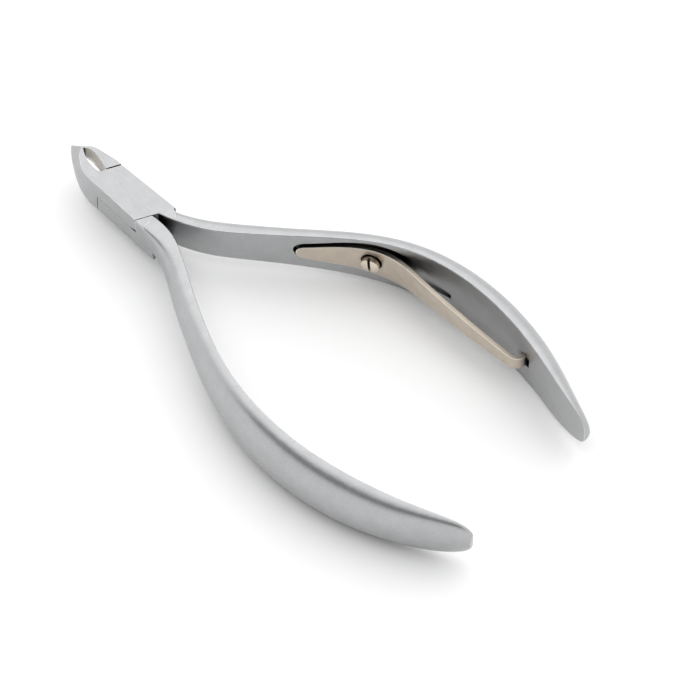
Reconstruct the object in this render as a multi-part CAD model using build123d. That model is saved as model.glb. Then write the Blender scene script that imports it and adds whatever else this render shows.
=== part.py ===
from build123d import *
import math
import os

# Cuticle nipper with a lap joint, closed. Millimetres and degrees.
# The pivot axis is the Z axis, +Y points to the jaws, and the two handles lie on either side of
# the Y axis. The head's underside is at z = 0, and its middle plane, where the two halves of the
# lap joint meet, is at z = head_half. Lever A is the upper half of the head, its jaw is on the
# -X side and its handle on the +X side. Lever B is the lower half and crosses over the other way.

# Head
head_half = 3.5             # half the thickness of the head
head_width_half = 3.0       # half the width of the head at the pivot
head_taper = 0.03           # how fast that half width shrinks towards the jaws
head_lean = 5.4             # the head's centre line leans this much towards lever A
shoulder_y = 6.13           # from the pivot to each end of a lap plate, on the centre line
shoulder_slant = 0.456      # slope of both ends of a lap plate
lap_gap = 0.14              # running gap between the two plates
front_gap_a = 0.30          # gap in front of lever A's plate
front_gap_b = 0.12          # gap in front of lever B's plate
rear_gap = 0.16             # gap behind a lap plate, which sets how far the nipper opens

# A nick at the rear end of the seam between the plates, on each side of the head
nick_y = (-3.1, -4.75)
nick_height = 0.6
nick_depth = 0.5

# Jaws
jaw_lean = 0.055            # sideways slope of the line where the jaws meet
jaw_gap = 0.03              # from that line to each cutting edge
jaw_tip_y = 15.1            # pivot to tip
jaw_bevel = 2.7             # height of the ground bevel round the top rim
hollow_front = (0.63, 11.9) # where the hollow between the jaws ends, behind the tip
hollow_wall = 0.8           # depth of the hollow's upright upper wall
edge_height = 4.9           # height of the two cutting edges
tunnel_y = 10.2             # middle of the relief under the cutting edges
tunnel_radii = (1.75, 3.9, 5.1)

# Outlines of the jaws in the head's own frame, from the heel to the tip: low down, and at the rim
jaw_a_body = [(-2.87, 4.4), (-2.88, 6.9), (-2.55, 9.0), (-1.75, 11.4), (-0.60, 13.5)]
jaw_a_rim = [(-2.87, 4.4), (-2.84, 6.9), (-2.38, 8.8), (-1.50, 10.3), (-0.45, 11.5)]
jaw_b_body = [(2.87, 4.4), (2.86, 6.9), (2.72, 9.0), (2.35, 11.4), (1.75, 13.5)]
jaw_b_rim = [(2.87, 4.4), (2.80, 6.9), (2.46, 8.9), (1.98, 10.9), (1.30, 11.7)]
jaw_rim_y = 12.1            # where both rims reach the line where the jaws meet

# Sides of the hollow, from its front end to the shoulders: at the rim, and at the cutting edges
hollow_a = [(0.10, 11.02), (-0.44, 9.73), (-0.73, 8.35), (-0.75, 7.05), (-0.50, 6.1)]
hollow_b = [(1.12, 11.35), (1.38, 10.6), (1.39, 9.59), (1.19, 8.31), (0.94, 7.31), (0.50, 6.1)]
edge_a = [(0.30, 10.8), (0.05, 9.0), (-0.05, 6.5)]
edge_b = [(1.00, 11.2), (0.98, 10.2), (0.82, 8.8), (0.56, 6.5)]

# Pivot rivet, pressed blind into lever A, with its head countersunk in lever B and ground flush
rivet_radius = 1.5
rivet_head_radius = 2.1
rivet_head_depth = 0.7
rivet_cover = 0.8           # steel left over the rivet's blind end in lever A
rivet_play = 0.03           # running clearance all round in lever B

# Leaf spring and its screw
spring_thickness = 0.75
spring_seat_depth = 0.75    # depth of the seat that is milled for it in lever A
seat_margin = 0.50          # room round the spring in its seat
seat_shift = 0.40           # the seat is milled this much too high, so its gap shows above
screw_head_radius = 1.55
screw_head_height = 1.75
screw_crown = 0.30          # how far the screw's head bulges
screw_shank_radius = 0.9
screw_shank_length = 2.6    # below the spring's seat
screw_slot_width = 0.48
screw_slot_depth = 0.95
spot_depth = 0.30           # the spring is spot-faced this deep for the screw's head
spot_margin = 0.30          # and this much wider
screw_slot_angle = 83
screw_x = 17.33
screw_y = -37.30
screw_direction = 22.0      # the screw points this many degrees from +X, into the handle

# Stations down each handle: x and y of its flat inner face, half its height, its depth from the
# flat face to the crown, how square its section is, and how far the flat face is hollowed.
stations_a = [
    (-0.45, -3.6, 3.50, 2.70, 0.97, 0.00),
    (-0.10, -6.4, 3.50, 2.60, 0.95, 0.00),
    (0.95, -10.6, 3.50, 2.70, 0.86, 0.00),
    (2.54, -14.6, 3.55, 2.95, 0.74, 0.00),
    (5.95, -20.1, 3.70, 3.20, 0.66, 0.00),
    (10.15, -26.2, 4.10, 3.22, 0.60, 0.02),
    (15.21, -34.0, 4.95, 3.35, 0.58, 0.08),
    (18.85, -41.7, 5.70, 3.65, 0.57, 0.20),
    (20.53, -49.4, 6.03, 3.90, 0.57, 0.35),
    (20.54, -57.1, 6.05, 4.02, 0.57, 0.40),
    (19.27, -65.0, 5.90, 3.90, 0.57, 0.35),
    (16.94, -72.8, 5.45, 3.40, 0.57, 0.20),
    (14.70, -79.0, 4.75, 2.55, 0.57, 0.08),
    (13.75, -82.2, 3.90, 1.95, 0.57, 0.03),
    (13.25, -84.1, 2.85, 1.50, 0.57, 0.00),
    (13.05, -84.9, 1.60, 1.10, 0.57, 0.00),
]
stations_b = [
    (-0.65, -3.6, 3.50, 2.80, 0.97, 0.00),
    (-1.05, -6.4, 3.50, 2.90, 0.95, 0.00),
    (-1.75, -10.8, 3.50, 3.10, 0.88, 0.00),
    (-3.75, -14.6, 3.55, 3.05, 0.74, 0.00),
    (-7.56, -20.2, 3.70, 3.20, 0.66, 0.00),
    (-11.57, -26.4, 4.10, 3.22, 0.60, 0.02),
    (-15.81, -34.2, 4.95, 3.35, 0.58, 0.08),
    (-18.61, -42.0, 5.70, 3.65, 0.57, 0.20),
    (-20.00, -49.8, 6.03, 3.90, 0.57, 0.35),
    (-20.17, -57.5, 6.05, 4.02, 0.57, 0.40),
    (-19.27, -65.3, 5.90, 3.85, 0.57, 0.35),
    (-17.40, -73.1, 5.40, 3.20, 0.57, 0.20),
    (-15.35, -78.9, 4.75, 2.30, 0.57, 0.08),
    (-14.20, -81.6, 3.90, 1.75, 0.57, 0.03),
    (-13.60, -83.1, 2.85, 1.35, 0.57, 0.00),
    (-13.35, -83.8, 1.60, 1.05, 0.57, 0.00),
]

# The root of each handle: its crown starts nearer the open side, and a flat cheek carries the
# side of the lap plate on, in a long triangle
root_crown = 2.6            # how far off centre the crown starts
root_softness = 0.12        # how much rounder the section starts on the plate's own side
root_start_y = -6.4
root_end_y = -14.6
cheek_edge = [(-8.9, 0.0), (-8.5, 3.2), (-7.8, 5.3), (-6.6, 7.0)]  # y and z of the cheek's rear edge
cheek_a_plan = [(-3.2, -6.2), (-2.95, -7.2), (-2.7, -8.2), (-1.8, -9.0)]  # its rear end in plan, on each lever
cheek_b_plan = [(-3.27, -8.9), (-3.0, -9.3), (-1.8, -8.6)]
edge_break = 0.12           # small chamfer along both edges of a handle's flat face

# Middle line of the leaf spring in plan, and the upper and lower edges of the spring and its
# milled seat, from the mid-plane, at a few distances down the handle
spring_line = [
    (10.51, -26.3), (13.13, -30.28), (15.30, -33.60), (17.07, -36.95), (18.05, -40.43),
    (18.21, -43.81), (17.93, -47.14), (17.36, -53.72), (16.99, -60.42), (16.85, -66.2),
]
spring_bend = (17.25, -67.6)
spring_foot = (18.75, -68.3)
spring_edges = [
    (-27.8, 1.30, -1.50), (-29.8, 1.78, -1.85), (-31.6, 2.22, -2.18), (-33.8, 2.62, -2.50),
    (-37.1, 2.98, -3.00), (-40.2, 3.06, -3.12), (-43.4, 2.92, -2.75), (-47.2, 2.50, -2.20),
    (-50.5, 2.20, -2.05), (-57.0, 1.62, -1.95), (-63.8, 1.05, -1.90), (-69.6, 0.60, -1.85),
]
spring_toe_y = -26.8
seat_edges = [
    (-27.8, 1.30, -1.50), (-31.6, 2.35, -2.18), (-37.1, 3.65, -3.00), (-40.9, 3.30, -3.05),
    (-44.4, 1.65, -2.70), (-47.2, -0.65, -2.55), (-50.9, -2.25, -2.45),
]
pocket_size = (1.5, 2.0, 2.3)
pocket_drop = 0.9           # the spring's tip and its pocket sit this much below the mid-plane


def prism(points, low, high):
    """A straight-sided solid on a closed plan outline, from one height to another."""
    outline = make_face(Polyline(*points, close=True))
    return Pos(0, 0, low) * extrude(outline, amount=high - low, dir=(0, 0, 1))


def side(y):
    """Half the head's width at y."""
    return head_width_half - head_taper * y


def plate(hand, grow_front, grow_rear, grow_side, low, high):
    """One lap plate in the head's own frame; hand is 1 for lever A and -1 for lever B."""
    points = []
    for along, across in ((-1, -1), (-1, 1), (1, 1), (1, -1)):
        reach = shoulder_y + (grow_front if along > 0 else grow_rear)
        x = across * head_width_half
        x = across * (side(along * shoulder_y - hand * shoulder_slant * x) + grow_side)
        points.append((x, along * reach - hand * shoulder_slant * x))
    return prism(points, low, high)


def handle(stations, hand):
    """A handle lofted through D-shaped sections, each square to the handle's line."""
    line = Spline(*[(x, y) for x, y, *_ in stations])
    sections = []
    for x, y, half, depth, square, hollow in stations:
        tangent = line.tangent_at(line.param_at_point((x, y)))
        outward = Vector(-tangent.Y, tangent.X) * hand
        frame = Plane(origin=(x, y, head_half), x_dir=outward, z_dir=tangent)
        root = min(1, max(0, (y - root_end_y) / (root_start_y - root_end_y)))
        crown = -root_crown * root
        soft = square * (1 - root_softness * root)
        under = crown - square * (half + crown)
        over = crown + soft * (half - crown)
        inside = half - edge_break
        flat = Bezier((0, inside), (hollow, half / 3), (hollow, -half / 3), (0, -inside))
        low = Bezier((edge_break, -half), (square * depth, -half), (depth, under), (depth, crown))
        high = Bezier((depth, crown), (depth, over), (soft * depth, half), (edge_break, half))
        low_break = Line((0, -inside), (edge_break, -half))
        high_break = Line((edge_break, half), (0, inside))
        sections.append(frame * make_face([flat, low_break, low, high, high_break]))
    return loft(sections)


def cheek(rear):
    """The cheek in the head's own frame, on lever B's side, with its rear end in plan."""
    front_y = -4.0
    plan = prism([(-side(front_y), front_y), *rear, (-1.0, front_y)], 0, 2 * head_half)
    rear_edge = Spline(*cheek_edge)
    front = Polyline(cheek_edge[-1], (front_y, 2 * head_half), (front_y, 0), cheek_edge[0])
    wedge = extrude(Plane.YZ * make_face([rear_edge, *front.edges()]), amount=5, both=True)
    return plan & wedge


def nick():
    """The nick in lever A's plate, in the head's own frame."""
    start_y, end_y = nick_y
    seam_z = head_half
    points = [(start_y, seam_z), (end_y, seam_z), (end_y, seam_z + nick_height)]
    wedge = extrude(Plane.YZ * make_face(Polyline(*points, close=True)), amount=nick_depth)
    return Pos(-side(end_y) - 0.1, 0, 0) * wedge


def turned(solid):
    """Turn a solid half round, from lever B's side of the head to lever A's."""
    return Pos(0, 0, 2 * head_half) * Rot(0, 180, 0) * solid


def jaw_outline(points, end_y, hand):
    """A jaw's plan: a smooth curve round the outside, and straight back along the cutting edge."""
    heel_y = 2.0
    end = (jaw_lean * end_y - hand * jaw_gap, end_y)
    heel = (jaw_lean * heel_y - hand * jaw_gap, heel_y)
    inner = Polyline(end, heel, (points[0][0], heel_y), points[0])
    return make_face([Spline(*points, end), *inner.edges()])


def jaw(body_points, rim_points, hand):
    """A jaw in the head's own frame, before the lap joint is cut out of it."""
    top = 2 * head_half
    body = jaw_outline(body_points, jaw_tip_y, hand)
    rim = jaw_outline(rim_points, jaw_rim_y, hand)
    solid = extrude(body, amount=top - jaw_bevel, dir=(0, 0, 1))
    solid += loft([Pos(0, 0, top - jaw_bevel) * body, Pos(0, 0, top) * rim])
    return solid - underside() - hollow()


def underside():
    """Everything below the jaws, whose keel rises in a curve to the tip."""
    tip = (jaw_tip_y + 0.05, 2 * head_half - jaw_bevel + 0.05)
    keel = Spline((5.6, 0.0), (8.6, 0.35), (11.4, 1.75), (13.3, 3.1), tip, tangents=[(1, 0), (1, 0.7)])
    below = Polyline(tip, (20, tip[1]), (20, -1), (5.6, -1), (5.6, 0.0))
    face = make_face([keel, *below.edges()])
    return extrude(Plane.YZ * face, amount=8, both=True)


def lens(points_a, points_b):
    """A long opening in plan, from the front end of the hollow to the shoulders."""
    rear = Line(points_a[-1], points_b[-1])
    return make_face([Spline(hollow_front, *points_a), rear, Spline(hollow_front, *points_b)])


def hollow():
    """The hollow between the jaws, which narrows to the gap between the two cutting edges."""
    mouth_z = 2 * head_half - hollow_wall
    mouth = lens(hollow_a, hollow_b)
    gap = lens(edge_a, edge_b)
    upper = extrude(Pos(0, 0, mouth_z) * mouth, amount=hollow_wall + 1, dir=(0, 0, 1))
    throat = loft([Pos(0, 0, edge_height) * gap, Pos(0, 0, mouth_z) * mouth])
    lower = extrude(Pos(0, 0, edge_height) * gap, amount=-1, dir=(0, 0, 1))
    tunnel = Pos(jaw_lean * tunnel_y, tunnel_y, 0) * scale(Sphere(1), by=tunnel_radii)
    return upper + throat + lower + tunnel


def rivet(play=0.0):
    """The pivot rivet, which is blind in lever A and countersunk in lever B's underside."""
    length = 2 * head_half - rivet_cover
    shank = Pos(0, 0, length / 2) * Cylinder(rivet_radius + play, length)
    head = Cone(rivet_head_radius + play, rivet_radius + play, rivet_head_depth)
    return shank + Pos(0, 0, rivet_head_depth / 2) * head


def in_head(solid):
    """Turn a solid from the head's own frame into the nipper's frame."""
    return Rot(0, 0, -head_lean) * solid


def spring_band(thickness):
    """The spring's plan, drawn as a band along its middle line."""
    run = Spline(*spring_line)
    bend = Spline(spring_line[-1], spring_bend, spring_foot, tangents=[run % 1, (1, -0.15)])
    return trace([run, bend], line_width=thickness)


def spring_profile(margin, toe_y, edges):
    """The spring seen along X: a round toe, and sides that follow its edges."""
    first_y, first_high, first_low = edges[0]
    last_y, last_high, last_low = edges[-1]
    upper = Spline(*[(y, high + margin) for y, high, low in edges])
    lower = Spline(*[(y, low - margin) for y, high, low in edges])
    toe = (toe_y, (first_high + first_low) / 2)
    toe_arc = ThreePointArc((first_y, first_high + margin), toe, (first_y, first_low - margin))
    end = Line((last_y, last_high + margin), (last_y, last_low - margin))
    return make_face([upper, end, lower, toe_arc])


def screw_frame(offset):
    """The screw's axis, pointing into the handle, with its origin `offset` along it."""
    turn = math.radians(screw_direction)
    along = Vector(math.cos(turn), math.sin(turn), 0)
    origin = Vector(screw_x, screw_y, head_half) + along * offset
    return Plane(origin=origin, x_dir=(0, 0, 1), z_dir=along)


def spring():
    """The leaf spring, bored and spot-faced for its screw."""
    band = extrude(spring_band(spring_thickness), amount=2 * head_half, dir=(0, 0, 1))
    shape = Plane(origin=(0, 0, head_half), x_dir=(0, 1, 0), z_dir=(1, 0, 0))
    outline = extrude(shape * spring_profile(0, spring_toe_y, spring_edges), amount=40)
    spot = Pos(0, 0, -spring_thickness) * Cylinder(screw_head_radius + spot_margin, 2 * spring_thickness)
    return (band & outline) - screw_frame(spot_depth - spring_thickness / 2) * spot - screw()


def seat():
    """Room for the spring in lever A: a milled seat that runs out down the handle."""
    shape = Plane(origin=(0, 0, head_half + seat_shift), x_dir=(0, 1, 0), z_dir=(1, 0, 0))
    profile = spring_profile(seat_margin, spring_toe_y + seat_margin, seat_edges)
    outline = extrude(shape * profile, amount=40)
    face_line = Spline(*[(x, y) for x, y, *_ in stations_a[4:10]])
    band = trace(face_line, line_width=2 * spring_seat_depth)
    return Pos(0, 0, -2) * extrude(band, amount=2 * head_half + 4, dir=(0, 0, 1)) & outline


def screw():
    """A slotted screw with a domed head."""
    under = screw_frame(spot_depth - spring_thickness / 2)
    head = Pos(0, 0, -screw_head_height / 2) * Cylinder(screw_head_radius, screw_head_height)
    crown_radius = (screw_head_radius ** 2 + screw_crown ** 2) / (2 * screw_crown)
    ball = Pos(0, 0, crown_radius - screw_head_height) * Sphere(crown_radius)
    slot = Box(screw_slot_width, 4 * screw_head_radius, 2 * screw_slot_depth)
    slot = Pos(0, 0, -screw_head_height) * Rot(0, 0, screw_slot_angle) * slot
    length = spring_thickness - spot_depth + screw_shank_length
    shank = Pos(0, 0, length / 2) * Cylinder(screw_shank_radius, length)
    return under * ((head & ball) - slot + shank)


def lever_a():
    """The upper lap plate, its jaw and its handle, in one piece."""
    arms = in_head(jaw(jaw_a_body, jaw_a_rim, 1) + turned(cheek(cheek_a_plan))) + handle(stations_a, 1)
    arms -= in_head(plate(-1, front_gap_b, rear_gap, 0.6, -1, head_half + lap_gap / 2))
    body = arms + in_head(plate(1, 0, 0, 0, head_half + lap_gap / 2, 2 * head_half) - nick())
    body -= rivet()
    body -= seat()
    body -= screw()
    pocket = Pos(*spring_foot, head_half - pocket_drop) * Box(*pocket_size)
    return body - pocket


def lever_b():
    """The lower lap plate, its jaw and its handle, in one piece."""
    arms = in_head(jaw(jaw_b_body, jaw_b_rim, -1) + cheek(cheek_b_plan)) + handle(stations_b, -1)
    arms -= in_head(plate(1, front_gap_a, rear_gap, 0.6, head_half - lap_gap / 2, 2 * head_half + 1))
    body = arms + in_head(plate(-1, 0, 0, 0, 0, head_half - lap_gap / 2) - turned(nick()))
    return body - rivet(rivet_play)


if __name__ == "__main__":
    os.makedirs("parts", exist_ok=True)
    pieces = {
        "lever_a": lever_a(),
        "lever_b": lever_b(),
        "pivot_rivet": rivet(),
        "leaf_spring": spring(),
        "spring_screw": screw(),
    }
    for name, piece in pieces.items():
        export_step(piece, f"parts/{name}.step")
        print(name, len(piece.solids()), "solid", round(piece.volume, 2), "mm3")
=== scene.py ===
import bpy
import math
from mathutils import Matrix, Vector


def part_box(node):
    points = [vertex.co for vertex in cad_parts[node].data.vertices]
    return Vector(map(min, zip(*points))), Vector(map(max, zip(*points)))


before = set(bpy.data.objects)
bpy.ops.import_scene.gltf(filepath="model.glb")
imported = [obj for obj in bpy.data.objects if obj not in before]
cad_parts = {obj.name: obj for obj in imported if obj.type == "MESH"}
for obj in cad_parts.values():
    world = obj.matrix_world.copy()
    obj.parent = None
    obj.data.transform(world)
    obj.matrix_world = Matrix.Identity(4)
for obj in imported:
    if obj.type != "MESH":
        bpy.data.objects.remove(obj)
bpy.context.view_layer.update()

MM = 0.001

# Camera: where it looks, in the frame of the part, and how far away it stands
LOOK_AT = Vector((1.45, -45.98, 3.5)) * MM
AZIMUTH = math.radians(-49.66)
ELEVATION = math.radians(56.19)
DISTANCE = 800 * MM
LENS = 256.4

# Studio: soft light all round, brightest overhead on the +X side, with a dark screen on the left.
# The pairs are where each part fades in or out, as a dot product or as the height of a direction.
KEY_DIRECTION = Vector((0.38, 0.33, 0.86)).normalized()
KEY_EDGE = (0.62, 0.88)
KEY_STRENGTH = 0.45
ROUND_STRENGTH = 1.2
SCREEN_DIRECTION = Vector((-0.93, -0.36, 0))
SCREEN_SIDE = (0.05, 0.35)
SCREEN_FOOT = (0.30, 0.50)
SCREEN_TOP = (0.72, 0.88)
SCREEN_DEPTH = 0.85

FLOOR_REACH = 3.0
FLOOR_ROUGHNESS = 0.9

# Steel of the levers: how dark and how light its mottling gets, how much of that is grain, the grain
# and cloud sizes (noise per metre), and the depth of the grain
STEEL = (0.43, 0.435, 0.44)
STEEL_MOTTLE = (0.9, 1.08)
STEEL_GRAIN_SHARE = 0.65
BLASTED_GRAIN = 5200
BRUSHED_GRAIN = 9000
BRUSHED_STRETCH = (1, 0.06, 1)
STEEL_CLOUDS = 420
STEEL_GRAIN_DEPTH = 0.004 * MM
BLASTED_ROUGHNESS = 0.30
BRUSHED_ROUGHNESS = 0.36
STEEL_ROUGHNESS_SPREAD = 0.08

# Head of the nipper, which is brushed: its lean, and where the blasted handles take over
HEAD_LEAN = math.radians(-5.4)
HEAD_FADE = (-9.0 * MM, -6.0 * MM)

# Hollow between the jaws, which is ground matt, in the head's own frame: its bounds on either side
# of the line where the jaws meet, and how level a face can be and still be one of its walls
JAW_LEAN = 0.055
HOLLOW_X = (-1.3 * MM, 1.55 * MM)
HOLLOW_Y = (6.0 * MM, 11.6 * MM)
HOLLOW_MIDDLE = 0.25 * MM
HOLLOW_LEVEL = 0.9
HOLLOW_TINT = (0.78, 0.75, 0.72)
HOLLOW_METALLIC = 0.35

# Nickel plate of the spring and its screw, named as for the steel
NICKEL = (0.585, 0.515, 0.43)
SCREW_GAIN = 1.25
NICKEL_MOTTLE = (0.92, 1.07)
NICKEL_GRAIN_SHARE = 0.5
NICKEL_GRAIN = 6000
NICKEL_CLOUDS = 500
NICKEL_GRAIN_DEPTH = 0.003 * MM
SPRING_STRETCH = (1, 0.1, 1)
SCREW_STRETCH = (1, 1, 1)
SPRING_ROUGHNESS = 0.30
SCREW_ROUGHNESS = 0.2
NICKEL_ROUGHNESS_SPREAD = 0.07

# The spring's colour is made darker on its thin upper edge, where a face points up this much
TOP_EDGE = (0.6, 0.9)
TOP_EDGE_GAIN = 0.7

# Radius of the broken edges
LEVER_EDGE = 0.10 * MM
SPRING_EDGE = 0.22 * MM
SCREW_EDGE = 0.05 * MM

# Painted highlight along the edges: how far the rounded surface turns from the true one there, and how bright
# they get
EDGE_HIGHLIGHT_RANGE = (0.90, 0.99)
EDGE_HIGHLIGHT_GAIN = 2.6

# Painted shade in the seams, in the milled seat and in other crevices, darkened where ambient occlusion finds
# them:
# how far it reaches, how open it is where it ends, and how dark it gets
PAINTED_SHADE_REACH = 2.2 * MM
PAINTED_SHADE_EDGE = (0.25, 0.85)
PAINTED_SHADE_TINT = 0.06

# Nearly all the values of a noise texture lie between these
NOISE_RANGE = (0.3, 0.7)


def look_from(azimuth, elevation):
    """A unit vector from the object towards a viewer at these angles."""
    flat = math.cos(elevation)
    return Vector((math.sin(azimuth) * flat, -math.cos(azimuth) * flat, math.sin(elevation)))


def add_camera():
    """The one camera, without depth of field or shift."""
    data = bpy.data.cameras.new("camera")
    data.lens = LENS
    data.clip_start = 0.05
    data.clip_end = 20
    camera = bpy.data.objects.new("camera", data)
    bpy.context.scene.collection.objects.link(camera)
    back = look_from(AZIMUTH, ELEVATION)
    camera.location = LOOK_AT + back * DISTANCE
    camera.rotation_mode = "QUATERNION"
    camera.rotation_quaternion = (-back).to_track_quat("-Z", "Y")
    bpy.context.scene.camera = camera


class Nodes:
    """Short names for building a node tree."""

    def __init__(self, tree):
        self.tree = tree

    def add(self, kind, values=(), **settings):
        """A new node; a value that is a socket is linked, and any other is set."""
        node = self.tree.nodes.new(kind)
        for name, value in settings.items():
            setattr(node, name, value)
        for socket, value in dict(values).items():
            if isinstance(value, bpy.types.NodeSocket):
                self.tree.links.new(value, node.inputs[socket])
            else:
                node.inputs[socket].default_value = value
        return node

    def math(self, operation, a, b=0.0):
        return self.add("ShaderNodeMath", {0: a, 1: b}, operation=operation).outputs[0]

    def product(self, first, *others):
        """All these values multiplied together."""
        for other in others:
            first = self.math("MULTIPLY", first, other)
        return first

    def ramp(self, value, low, high, to_low=0.0, to_high=1.0):
        values = {"Value": value, "From Min": low, "From Max": high, "To Min": to_low, "To Max": to_high}
        return self.add("ShaderNodeMapRange", values, interpolation_type="SMOOTHSTEP").outputs["Result"]

    def within(self, value, low, high):
        """1 between two bounds, and 0 outside them."""
        return self.product(self.math("GREATER_THAN", value, low), self.math("LESS_THAN", value, high))

    def dot(self, a, b):
        return self.add("ShaderNodeVectorMath", {0: a, 1: b}, operation="DOT_PRODUCT").outputs["Value"]

    def scaled(self, vector, factor):
        return self.add("ShaderNodeVectorMath", {0: vector, "Scale": factor}, operation="SCALE").outputs[0]

    def axes(self, vector):
        """The X, Y and Z of a vector."""
        return self.add("ShaderNodeSeparateXYZ", {0: vector}).outputs

    def facing(self):
        """The X, Y and Z of the surface's normal, in the object's own frame."""
        return self.axes(self.add("ShaderNodeTexCoord").outputs["Normal"])

    def stretched(self, vector, scale):
        return self.add("ShaderNodeMapping", {"Vector": vector, "Scale": scale}).outputs[0]

    def mix(self, factor, a, b):
        return self.add("ShaderNodeMix", {0: factor, 6: a, 7: b}, data_type="RGBA").outputs[2]

    def blend(self, factor, a, b):
        return self.add("ShaderNodeMix", {0: factor, 2: a, 3: b}, data_type="FLOAT").outputs[0]

    def noise(self, vector, scale, detail):
        values = {"Vector": vector, "Scale": scale, "Detail": detail}
        return self.add("ShaderNodeTexNoise", values).outputs["Fac"]

    def mottled(self, colour, mottle, grain, share, clouds):
        """A colour that gets darker and lighter with the grain and with soft clouds."""
        pattern = self.math("ADD", self.product(grain, share), self.product(clouds, 1 - share))
        dark, light = (tuple(channel * gain for channel in colour) for gain in mottle)
        return self.mix(self.ramp(pattern, *NOISE_RANGE), (*dark, 1), (*light, 1))


def add_world():
    """Soft light all round, with a brighter patch overhead and a dark screen on one side."""
    world = bpy.data.worlds.new("world")
    world.use_nodes = True
    nodes = Nodes(world.node_tree)
    direction = nodes.add("ShaderNodeTexCoord").outputs["Generated"]
    height = nodes.axes(direction)["Z"]
    key = nodes.ramp(nodes.dot(direction, KEY_DIRECTION), *KEY_EDGE, 0.0, KEY_STRENGTH)
    across = nodes.ramp(nodes.dot(direction, SCREEN_DIRECTION), *SCREEN_SIDE)
    foot = nodes.ramp(height, *SCREEN_FOOT)
    top = nodes.ramp(height, *SCREEN_TOP, SCREEN_DEPTH, 0.0)
    open_sky = nodes.math("SUBTRACT", 1.0, nodes.product(across, foot, top))
    strength = nodes.product(nodes.math("ADD", key, ROUND_STRENGTH), open_sky)
    background = world.node_tree.nodes["Background"]
    background.inputs["Color"].default_value = (1, 1, 1, 1)
    world.node_tree.links.new(strength, background.inputs["Strength"])
    bpy.context.scene.world = world


def add_floor():
    """A plain pale floor under the grips."""
    low = min(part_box(node)[0].z for node in ("lever_a", "lever_b"))
    mesh = bpy.data.meshes.new("floor")
    sides = ((-1, -1), (1, -1), (1, 1), (-1, 1))
    corners = [(x * FLOOR_REACH, y * FLOOR_REACH, low) for x, y in sides]
    mesh.from_pydata(corners, [], [(0, 1, 2, 3)])
    floor = bpy.data.objects.new("floor", mesh)
    bpy.context.scene.collection.objects.link(floor)
    material = bpy.data.materials.new("floor_paint")
    material.use_nodes = True
    shader = material.node_tree.nodes["Principled BSDF"]
    shader.inputs["Base Color"].default_value = (1, 1, 1, 1)
    shader.inputs["Roughness"].default_value = FLOOR_ROUGHNESS
    shader.inputs["Specular IOR Level"].default_value = 0.0
    mesh.materials.append(material)


def start(name):
    """A new metal, its shader, a node builder and the object's own coordinates."""
    material = bpy.data.materials.new(name)
    material.use_nodes = True
    shader = material.node_tree.nodes["Principled BSDF"]
    shader.inputs["Metallic"].default_value = 1.0
    nodes = Nodes(material.node_tree)
    return material, shader, nodes, nodes.add("ShaderNodeTexCoord").outputs["Object"]


def finish(material, shader, nodes, colour, roughness, grain, depth, edge, unshaded=0.0):
    """Wire a metal up, with a painted highlight along its edges, and painted shade in its crevices except
    where the last argument is 1.
    """
    links = material.node_tree.links
    open_air = nodes.add("ShaderNodeAmbientOcclusion", {"Distance": PAINTED_SHADE_REACH}, samples=8).outputs["AO"]
    # painted shade: the colour is darkened in crevices, where ambient occlusion finds little open air
    painted_shade = nodes.math("MAXIMUM", nodes.ramp(open_air, *PAINTED_SHADE_EDGE, PAINTED_SHADE_TINT, 1.0), unshaded)
    rounded = nodes.add("ShaderNodeBevel", {"Radius": edge}, samples=6).outputs["Normal"]
    true_normal = nodes.add("ShaderNodeNewGeometry").outputs["Normal"]
    # painted highlight: the colour is brightened along the rounded edges
    edge_highlight = nodes.ramp(nodes.dot(rounded, true_normal), *EDGE_HIGHLIGHT_RANGE, EDGE_HIGHLIGHT_GAIN, 1.0)
    links.new(nodes.scaled(colour, nodes.product(painted_shade, edge_highlight)), shader.inputs["Base Color"])
    links.new(roughness, shader.inputs["Roughness"])
    values = {"Strength": 1.0, "Distance": depth, "Height": grain, "Normal": rounded}
    bump = nodes.add("ShaderNodeBump", values)
    links.new(bump.outputs["Normal"], shader.inputs["Normal"])
    return material


def hollow_mask(nodes, turned):
    """1 on the walls of the hollow between the jaws, and 0 elsewhere."""
    place = nodes.axes(turned)
    facing = nodes.facing()
    centre = nodes.math("SUBTRACT", place["X"], nodes.product(place["Y"], JAW_LEAN))
    inward = nodes.product(facing["X"], nodes.math("SUBTRACT", centre, HOLLOW_MIDDLE))
    steep = nodes.math("LESS_THAN", facing["Z"], HOLLOW_LEVEL)
    walls = nodes.product(nodes.math("LESS_THAN", inward, 0.0), steep)
    return nodes.product(nodes.within(centre, *HOLLOW_X), nodes.within(place["Y"], *HOLLOW_Y), walls)


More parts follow.
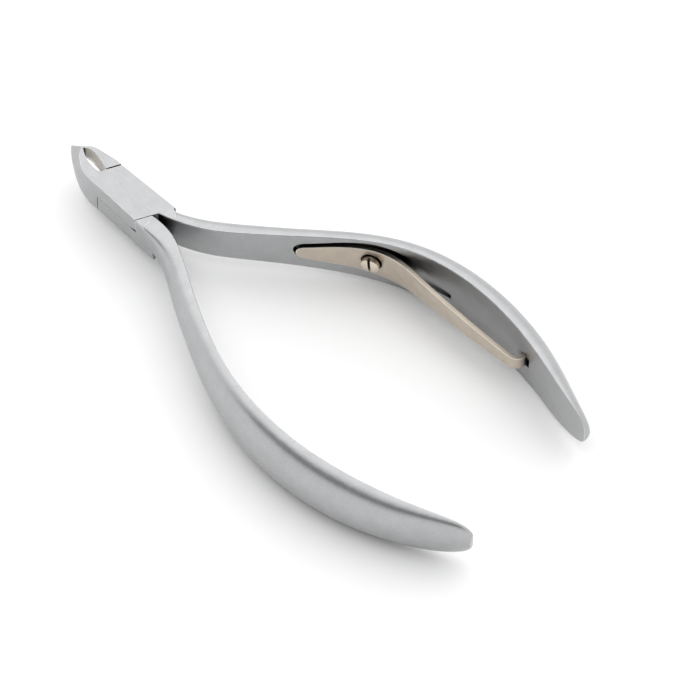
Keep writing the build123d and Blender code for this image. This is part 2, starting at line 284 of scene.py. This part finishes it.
def satin_steel():
    """Blasted handles that pass into a brushed head with ground jaws."""
    material, shader, nodes, place = start("satin_steel")
    turned = nodes.add("ShaderNodeMapping", {"Vector": place, "Rotation": (0, 0, -HEAD_LEAN)}).outputs[0]
    head = nodes.ramp(nodes.axes(turned)["Y"], *HEAD_FADE)
    hollow = hollow_mask(nodes, turned)
    brushed = nodes.noise(nodes.stretched(turned, BRUSHED_STRETCH), BRUSHED_GRAIN, 3)
    blasted = nodes.noise(place, BLASTED_GRAIN, 2)
    clouds = nodes.noise(place, STEEL_CLOUDS, 3)
    grain = nodes.blend(head, blasted, brushed)
    colour = nodes.mottled(STEEL, STEEL_MOTTLE, grain, STEEL_GRAIN_SHARE, clouds)
    colour = nodes.mix(hollow, colour, (*HOLLOW_TINT, 1))
    metallic = nodes.ramp(hollow, 0.0, 1.0, 1.0, HOLLOW_METALLIC)
    material.node_tree.links.new(metallic, shader.inputs["Metallic"])
    spread = nodes.ramp(grain, *NOISE_RANGE, 0.0, STEEL_ROUGHNESS_SPREAD)
    roughness = nodes.math("ADD", spread, nodes.blend(head, BLASTED_ROUGHNESS, BRUSHED_ROUGHNESS))
    return finish(material, shader, nodes, colour, roughness, grain, STEEL_GRAIN_DEPTH, LEVER_EDGE, hollow)


def nickel(name, gain, stretch, roughness, edge):
    """Warm nickel plate with fine lengthwise rolling marks."""
    material, shader, nodes, place = start(name)
    grain = nodes.noise(nodes.stretched(place, stretch), NICKEL_GRAIN, 3)
    clouds = nodes.noise(place, NICKEL_CLOUDS, 3)
    plate = tuple(channel * gain for channel in NICKEL)
    colour = nodes.mottled(plate, NICKEL_MOTTLE, grain, NICKEL_GRAIN_SHARE, clouds)
    # the colour is darker where the surface points up, on the spring's thin upper edge
    darkened_upward = nodes.ramp(nodes.facing()["Z"], *TOP_EDGE, 1.0, TOP_EDGE_GAIN)
    rough = nodes.ramp(grain, *NOISE_RANGE, roughness, roughness + NICKEL_ROUGHNESS_SPREAD)
    return finish(material, shader, nodes, nodes.scaled(colour, darkened_upward), rough, grain, NICKEL_GRAIN_DEPTH, edge)


add_camera()
add_floor()
add_world()
lever = satin_steel()
spring = nickel("spring_nickel", 1.0, SPRING_STRETCH, SPRING_ROUGHNESS, SPRING_EDGE)
screw = nickel("screw_nickel", SCREW_GAIN, SCREW_STRETCH, SCREW_ROUGHNESS, SCREW_EDGE)
finishes = {"leaf_spring": spring, "spring_screw": screw}
for name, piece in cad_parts.items():
    piece.data.materials.clear()
    piece.data.materials.append(finishes.get(name, lever))
bpy.context.scene.view_settings.view_transform = "Standard"
